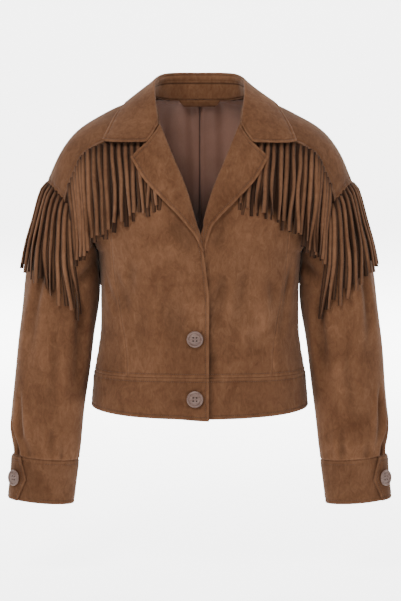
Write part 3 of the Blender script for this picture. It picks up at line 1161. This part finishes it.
def make_yoke_fringe(word, side):
    strands = []
    arc = np.r_[0, np.cumsum(np.hypot(*np.diff(YOKE_FRINGE[:, :2], axis=0).T))]
    t = np.linspace(0, 1, STRAND_POINTS)
    for layer, pitch, start in ((0, 9.4, 1.0), (1, 10.4, 5.5)):
        for place in np.arange(start, arc[-1], pitch):
            at = np.interp(place + chance.uniform(-0.8, 0.8), arc, range(len(arc)))
            root_x, root_z, tip_x, tip_z = smooth(YOKE_FRINGE, at)
            twist, curl, width, sway = strand_style(layer)
            tip_z += chance.uniform(-7, 7) + (4 if layer else -4)
            tip_x += chance.uniform(-2.5, 2.5)
            x = root_x + (tip_x - root_x) * ease(t) * 0.7 + (tip_x - root_x) * t * 0.3 + sway
            z = root_z + 3 + (tip_z - root_z - 3) * t
            y = np.minimum.accumulate(cloth_in_front(x, z) - 0.9 - (1.0 + 3.6 * layer) * ease(t / 0.12))
            y = np.convolve(np.r_[y[:2][::-1], y, y[-2:][::-1]], [0.1, 0.2, 0.4, 0.2, 0.1], "valid")
            line = np.stack([x, y, z], -1)
            outward = np.broadcast_to([0.0, -1, 0], line.shape)
            strands.append((line, outward, width, twist, curl, 0.0 if layer else 0.62))
    add_strands(f"fringe_yoke_{word}_strands", strands, [f"fringe_yoke_{word}"], side)


def make_sleeve_fringe(word, side):
    strands = []
    f = SLEEVE_FRINGE
    t = np.linspace(0, 1, STRAND_POINTS)
    for layer, pitch, start in ((0, 7.4, 0), (1, 8.4, 3.5)):
        for root in np.arange(f["from"] + start, f["to"], pitch):
            root = root + chance.uniform(-0.7, 0.7)
            twist, curl, width, sway = strand_style(layer)
            beside = abs(root - 180) / 75
            tip = f["tip"] + f["lower"] * beside**2 + chance.uniform(-0.16, 0.16) + (0.08 if layer else -0.08)
            degrees = root + (180 + (root - 180) * f["fan"] - root) * t + np.degrees(sway / 60)
            p, n = on_sleeve(np.stack([degrees, f["root"] + (tip - f["root"]) * t], -1))
            loose = (1.2 + 1.6 * layer) * np.sin(np.pi * t) * chance.uniform(0, 1)
            outer = (2.5 + 1.5 * layer) * t * np.exp(-(((root - 180) / 42) ** 2))
            stand = 0.9 + (1.0 + 3.4 * layer) * ease(t / 0.12) + loose + outer
            strands.append((p + n * stand[:, None], n, width, twist, curl, 0.0 if layer else 0.62))
    add_strands(f"fringe_sleeve_{word}_strands", strands, [f"fringe_sleeve_{word}"], side)


# ---------------------------------------------------------------------------------------------------
# Buttons
# ---------------------------------------------------------------------------------------------------
BUTTON_PROFILE = np.array([[0, 0], [0.74, 0], [0.9, 0.12], [0.985, 0.34], [1, 0.56], [0.985, 0.8], [0.94, 0.95],
                           [0.88, 1], [0.82, 0.97], [0.78, 0.84], [0.75, 0.6], [0.715, 0.46], [0.68, 0.46],
                           [0.645, 0.58], [0.59, 0.64], [0.3, 0.62], [0, 0.6]])
HOLE_RADIUS, HOLE_OFFSET, BUTTON_SIDES = 1.45, 2.7, 56


def place_button(piece, point, normal, side):
    from mathutils import Matrix, Vector
    mirror = np.array([-1 if side == RIGHT else 1, 1, 1])
    turn = Vector((normal * mirror).tolist()).to_track_quat("Z", "Y").to_matrix().to_4x4()
    move = Matrix.Translation(Vector((point * mirror / 1000).tolist()))
    piece.data.transform(move @ turn)


def make_button(name, point, normal, side):
    turns = np.radians(np.arange(BUTTON_SIDES) * 360 / BUTTON_SIDES)
    rings = BUTTON_PROFILE[1:-1] * [BUTTON_RADIUS, BUTTON_DEPTH]
    vertices = [(r * math.cos(a), r * math.sin(a), h) for r, h in rings for a in turns]
    faces = grid_faces(len(rings), BUTTON_SIDES, 0, True).tolist()
    low, high = len(vertices), len(vertices) + 1
    vertices += [(0, 0, 0), (0, 0, BUTTON_PROFILE[-1][1] * BUTTON_DEPTH)]
    last = (len(rings) - 1) * BUTTON_SIDES
    for i in range(BUTTON_SIDES):
        k = (i + 1) % BUTTON_SIDES
        faces += [[low, k, i], [last + i, last + k, high]]
    mesh = bpy.data.meshes.new(name)
    mesh.from_pydata((np.array(vertices) / 1000).tolist(), [], faces)
    piece = bpy.data.objects.new(name, mesh)
    bpy.context.scene.collection.objects.link(piece)
    cutters = bpy.data.meshes.new("holes")
    a = np.radians(np.arange(14) * 360 / 14)
    points, sides = [], []
    for x in (-HOLE_OFFSET, HOLE_OFFSET):
        for y in (-HOLE_OFFSET, HOLE_OFFSET):
            start = len(points)
            for h in (-2, 6):
                points += [(x + HOLE_RADIUS * math.cos(b), y + HOLE_RADIUS * math.sin(b), h) for b in a]
            sides += (grid_faces(2, 14, start, True)).tolist()
            sides += [[start + k for k in range(14)][::-1], [start + 14 + k for k in range(14)]]
    cutters.from_pydata((np.array(points) / 1000).tolist(), [], sides)
    cutter = bpy.data.objects.new("holes", cutters)
    bpy.context.scene.collection.objects.link(cutter)
    cut = piece.modifiers.new("holes", "BOOLEAN")
    cut.object, cut.operation, cut.solver = cutter, "DIFFERENCE", "EXACT"
    bpy.context.view_layer.update()
    made = bpy.data.meshes.new_from_object(piece.evaluated_get(bpy.context.evaluated_depsgraph_get()))
    piece.modifiers.clear()
    piece.data = made
    bpy.data.objects.remove(cutter)
    made.polygons.foreach_set("use_smooth", [True] * len(made.polygons))
    made.set_sharp_from_angle(angle=math.radians(40))
    made.materials.clear()
    made.materials.append(HORN)
    place_button(piece, point, normal, side)
    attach(piece, "root")
    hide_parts(name.replace("_horn", ""))
    # Thread fills each hole to a little below the well's face.
    vertices, faces = [], []
    for x in (-HOLE_OFFSET, HOLE_OFFSET):
        for y in (-HOLE_OFFSET, HOLE_OFFSET):
            first = len(vertices)
            for r, h in ((1.3, 0.1), (1.3, 0.35), (0.9, 0.5)):
                vertices += [(x + r * math.cos(b), y + r * math.sin(b), h) for b in a[::2]]
            faces += grid_faces(3, 7, first, True).tolist()
            faces += [[first + k for k in range(7)][::-1], [first + 14 + k for k in range(7)]]
    sewn = add_mesh(f"{name}_thread", vertices, faces, HOLE_THREAD)
    place_button(sewn, point, normal, side)


def make_buttons():
    lift = CLOTH / 2 + 1
    for name, z, rise in (("waist", BUTTON_HEIGHTS[0], LAP_RISE), ("hem", BUTTON_HEIGHTS[1], LAP_RISE + BAND_RISE)):
        p, n = on_body(front(7.5, z)[None])
        make_button(f"button_{name}_horn", p[0] + n[0] * (rise + lift - 0.4), n[0], RIGHT)
    for word, side in SIDES:
        p, n = on_sleeve(np.array([[-213.0, CUFF_RING + 0.5]]))
        rise = CUFF["rise"] + CUFF["overlap"] + lift
        make_button(f"button_cuff_{word}_horn", p[0] + n[0] * rise, n[0], side)


for word, side in SIDES:
    make_fronts(word, side)
    make_yoke(word, side)
    make_band(word, side)
    make_sleeve(word, side)
    make_cuff(word, side)
    make_lapel(word, side)
    make_yoke_fringe(word, side)
    make_sleeve_fringe(word, side)
make_back()
make_collar()
make_lining()
make_tab()
make_buttons()
for group, lines in stitch_lines.items():
    add_stitches(f"stitches_{group}", lines)

# How each cloth is held, what it hangs from or lies on, and the separate pieces on it.
SHEETS = {
    "yoke": ("hung", ["front", "sleeve"], ["fringe_yoke_{}_strands"]),
    "front": ("hung", ["yoke"], []),
    "side_front": ("hung", ["yoke"], []),
    "hem_band_front": ("hung", ["front", "side_front"], []),
    "sleeve": ("hung", ["yoke"], ["fringe_sleeve_{}_strands"]),
    "cuff": ("hung", ["sleeve"], ["button_cuff_{}_horn", "button_cuff_{}_horn_thread"]),
    "lapel": ("folded", ["front"], []),
}
for word, side in SIDES:
    for name, (held, holders, extras) in SHEETS.items():
        extras = [extra.format(word) for extra in extras]
        if side == RIGHT and name in ("front", "hem_band_front"):
            button = "button_waist_horn" if name == "front" else "button_hem_horn"
            extras += [button, f"{button}_thread"]

# ---------------------------------------------------------------------------------------------------
# Studio and camera
# ---------------------------------------------------------------------------------------------------
FLOOR_Z = -0.80


def look_at(thing, target):
    direction = np.array(target, float) - np.array(thing.location)
    from mathutils import Vector
    thing.rotation_euler = Vector(direction).to_track_quat("-Z", "Y").to_euler()


def add_light(name, place, target, width, height, power, colour=(1, 1, 1)):
    data = bpy.data.lights.new(name, "AREA")
    data.shape, data.size, data.size_y = "RECTANGLE", width, height
    data.energy, data.color = power, colour
    light = bpy.data.objects.new(name, data)
    light.location = place
    bpy.context.scene.collection.objects.link(light)
    look_at(light, target)
    return light


def brighter_seen(tree, light, seen):
    """A strength that is light on the cloth, and seen more to the camera itself."""
    camera = node(tree, "ShaderNodeLightPath").outputs["Is Camera Ray"]
    return node(tree, "ShaderNodeMath", {0: camera, 1: seen, 2: light}, operation="MULTIPLY_ADD").outputs[0]


def make_studio():
    profile = [(-12.0, 0.0)] + [(9.0 + 2.5 * math.sin(a), 2.5 - 2.5 * math.cos(a))
                                for a in np.radians(np.linspace(0, 90, 16))] + [(11.5, 12.0)]
    vertices = [(x, y, FLOOR_Z + z) for y, z in profile for x in (-12, 12)]
    faces = [(2 * k, 2 * k + 1, 2 * k + 3, 2 * k + 2) for k in range(len(profile) - 1)]
    mesh = bpy.data.meshes.new("studio")
    mesh.from_pydata(vertices, [], faces)
    mesh.polygons.foreach_set("use_smooth", [True] * len(mesh.polygons))
    material, tree, shader = new_material("studio_paper")
    shader.inputs["Base Color"].default_value = (0.95, 0.95, 0.945, 1)
    shader.inputs["Emission Color"].default_value = (1, 1, 1, 1)
    tree.links.new(brighter_seen(tree, 0.42, 3.6), shader.inputs["Emission Strength"])
    shader.inputs["Roughness"].default_value = 0.9
    mesh.materials.append(material)
    floor = bpy.data.objects.new("studio", mesh)
    bpy.context.scene.collection.objects.link(floor)

    world = bpy.data.worlds.new("studio_world")
    bpy.context.scene.world = world
    world.use_nodes = True
    background = world.node_tree.nodes["Background"]
    background.inputs[0].default_value = (1, 1, 1, 1)
    world.node_tree.links.new(brighter_seen(world.node_tree, 0.38, 3.65), background.inputs[1])
    middle = (0, 0, -0.3)
    add_light("key", (-0.9, -2.3, 2.3), middle, 0.9, 0.9, 72, (1, 0.985, 0.965))
    add_light("fill", (2.2, -2.6, 0.5), middle, 1.6, 1.6, 15, (0.97, 0.985, 1))
    add_light("top", (0.1, 0.5, 2.6), middle, 1.8, 1.2, 14)
    for x in (-1, 1):
        add_light(f"side_{x + 2}", (2.6 * x, 0.9, 0.7), middle, 1.2, 1.8, 7)
        add_light(f"paper_{x + 2}", (2.4 * x, 2.6, 1.6), (0.6 * x, 5.0, -0.2), 2.0, 2.0, 430)


def make_camera():
    data = bpy.data.cameras.new("camera")
    camera = bpy.data.objects.new("camera", data)
    bpy.context.scene.collection.objects.link(camera)
    elevation, distance, target = math.radians(6), 3.2, np.array([0, 0, -0.338])
    camera.location = target + distance * np.array([0, -math.cos(elevation), math.sin(elevation)])
    look_at(camera, target)
    data.sensor_fit = "VERTICAL"
    data.sensor_height = 36
    data.lens = 36 / 2 / ((601 * 1.65e-3 / 2) / distance)
    data.shift_x = 0.0013
    data.clip_end = 50
    bpy.context.scene.camera = camera


make_studio()
make_camera()
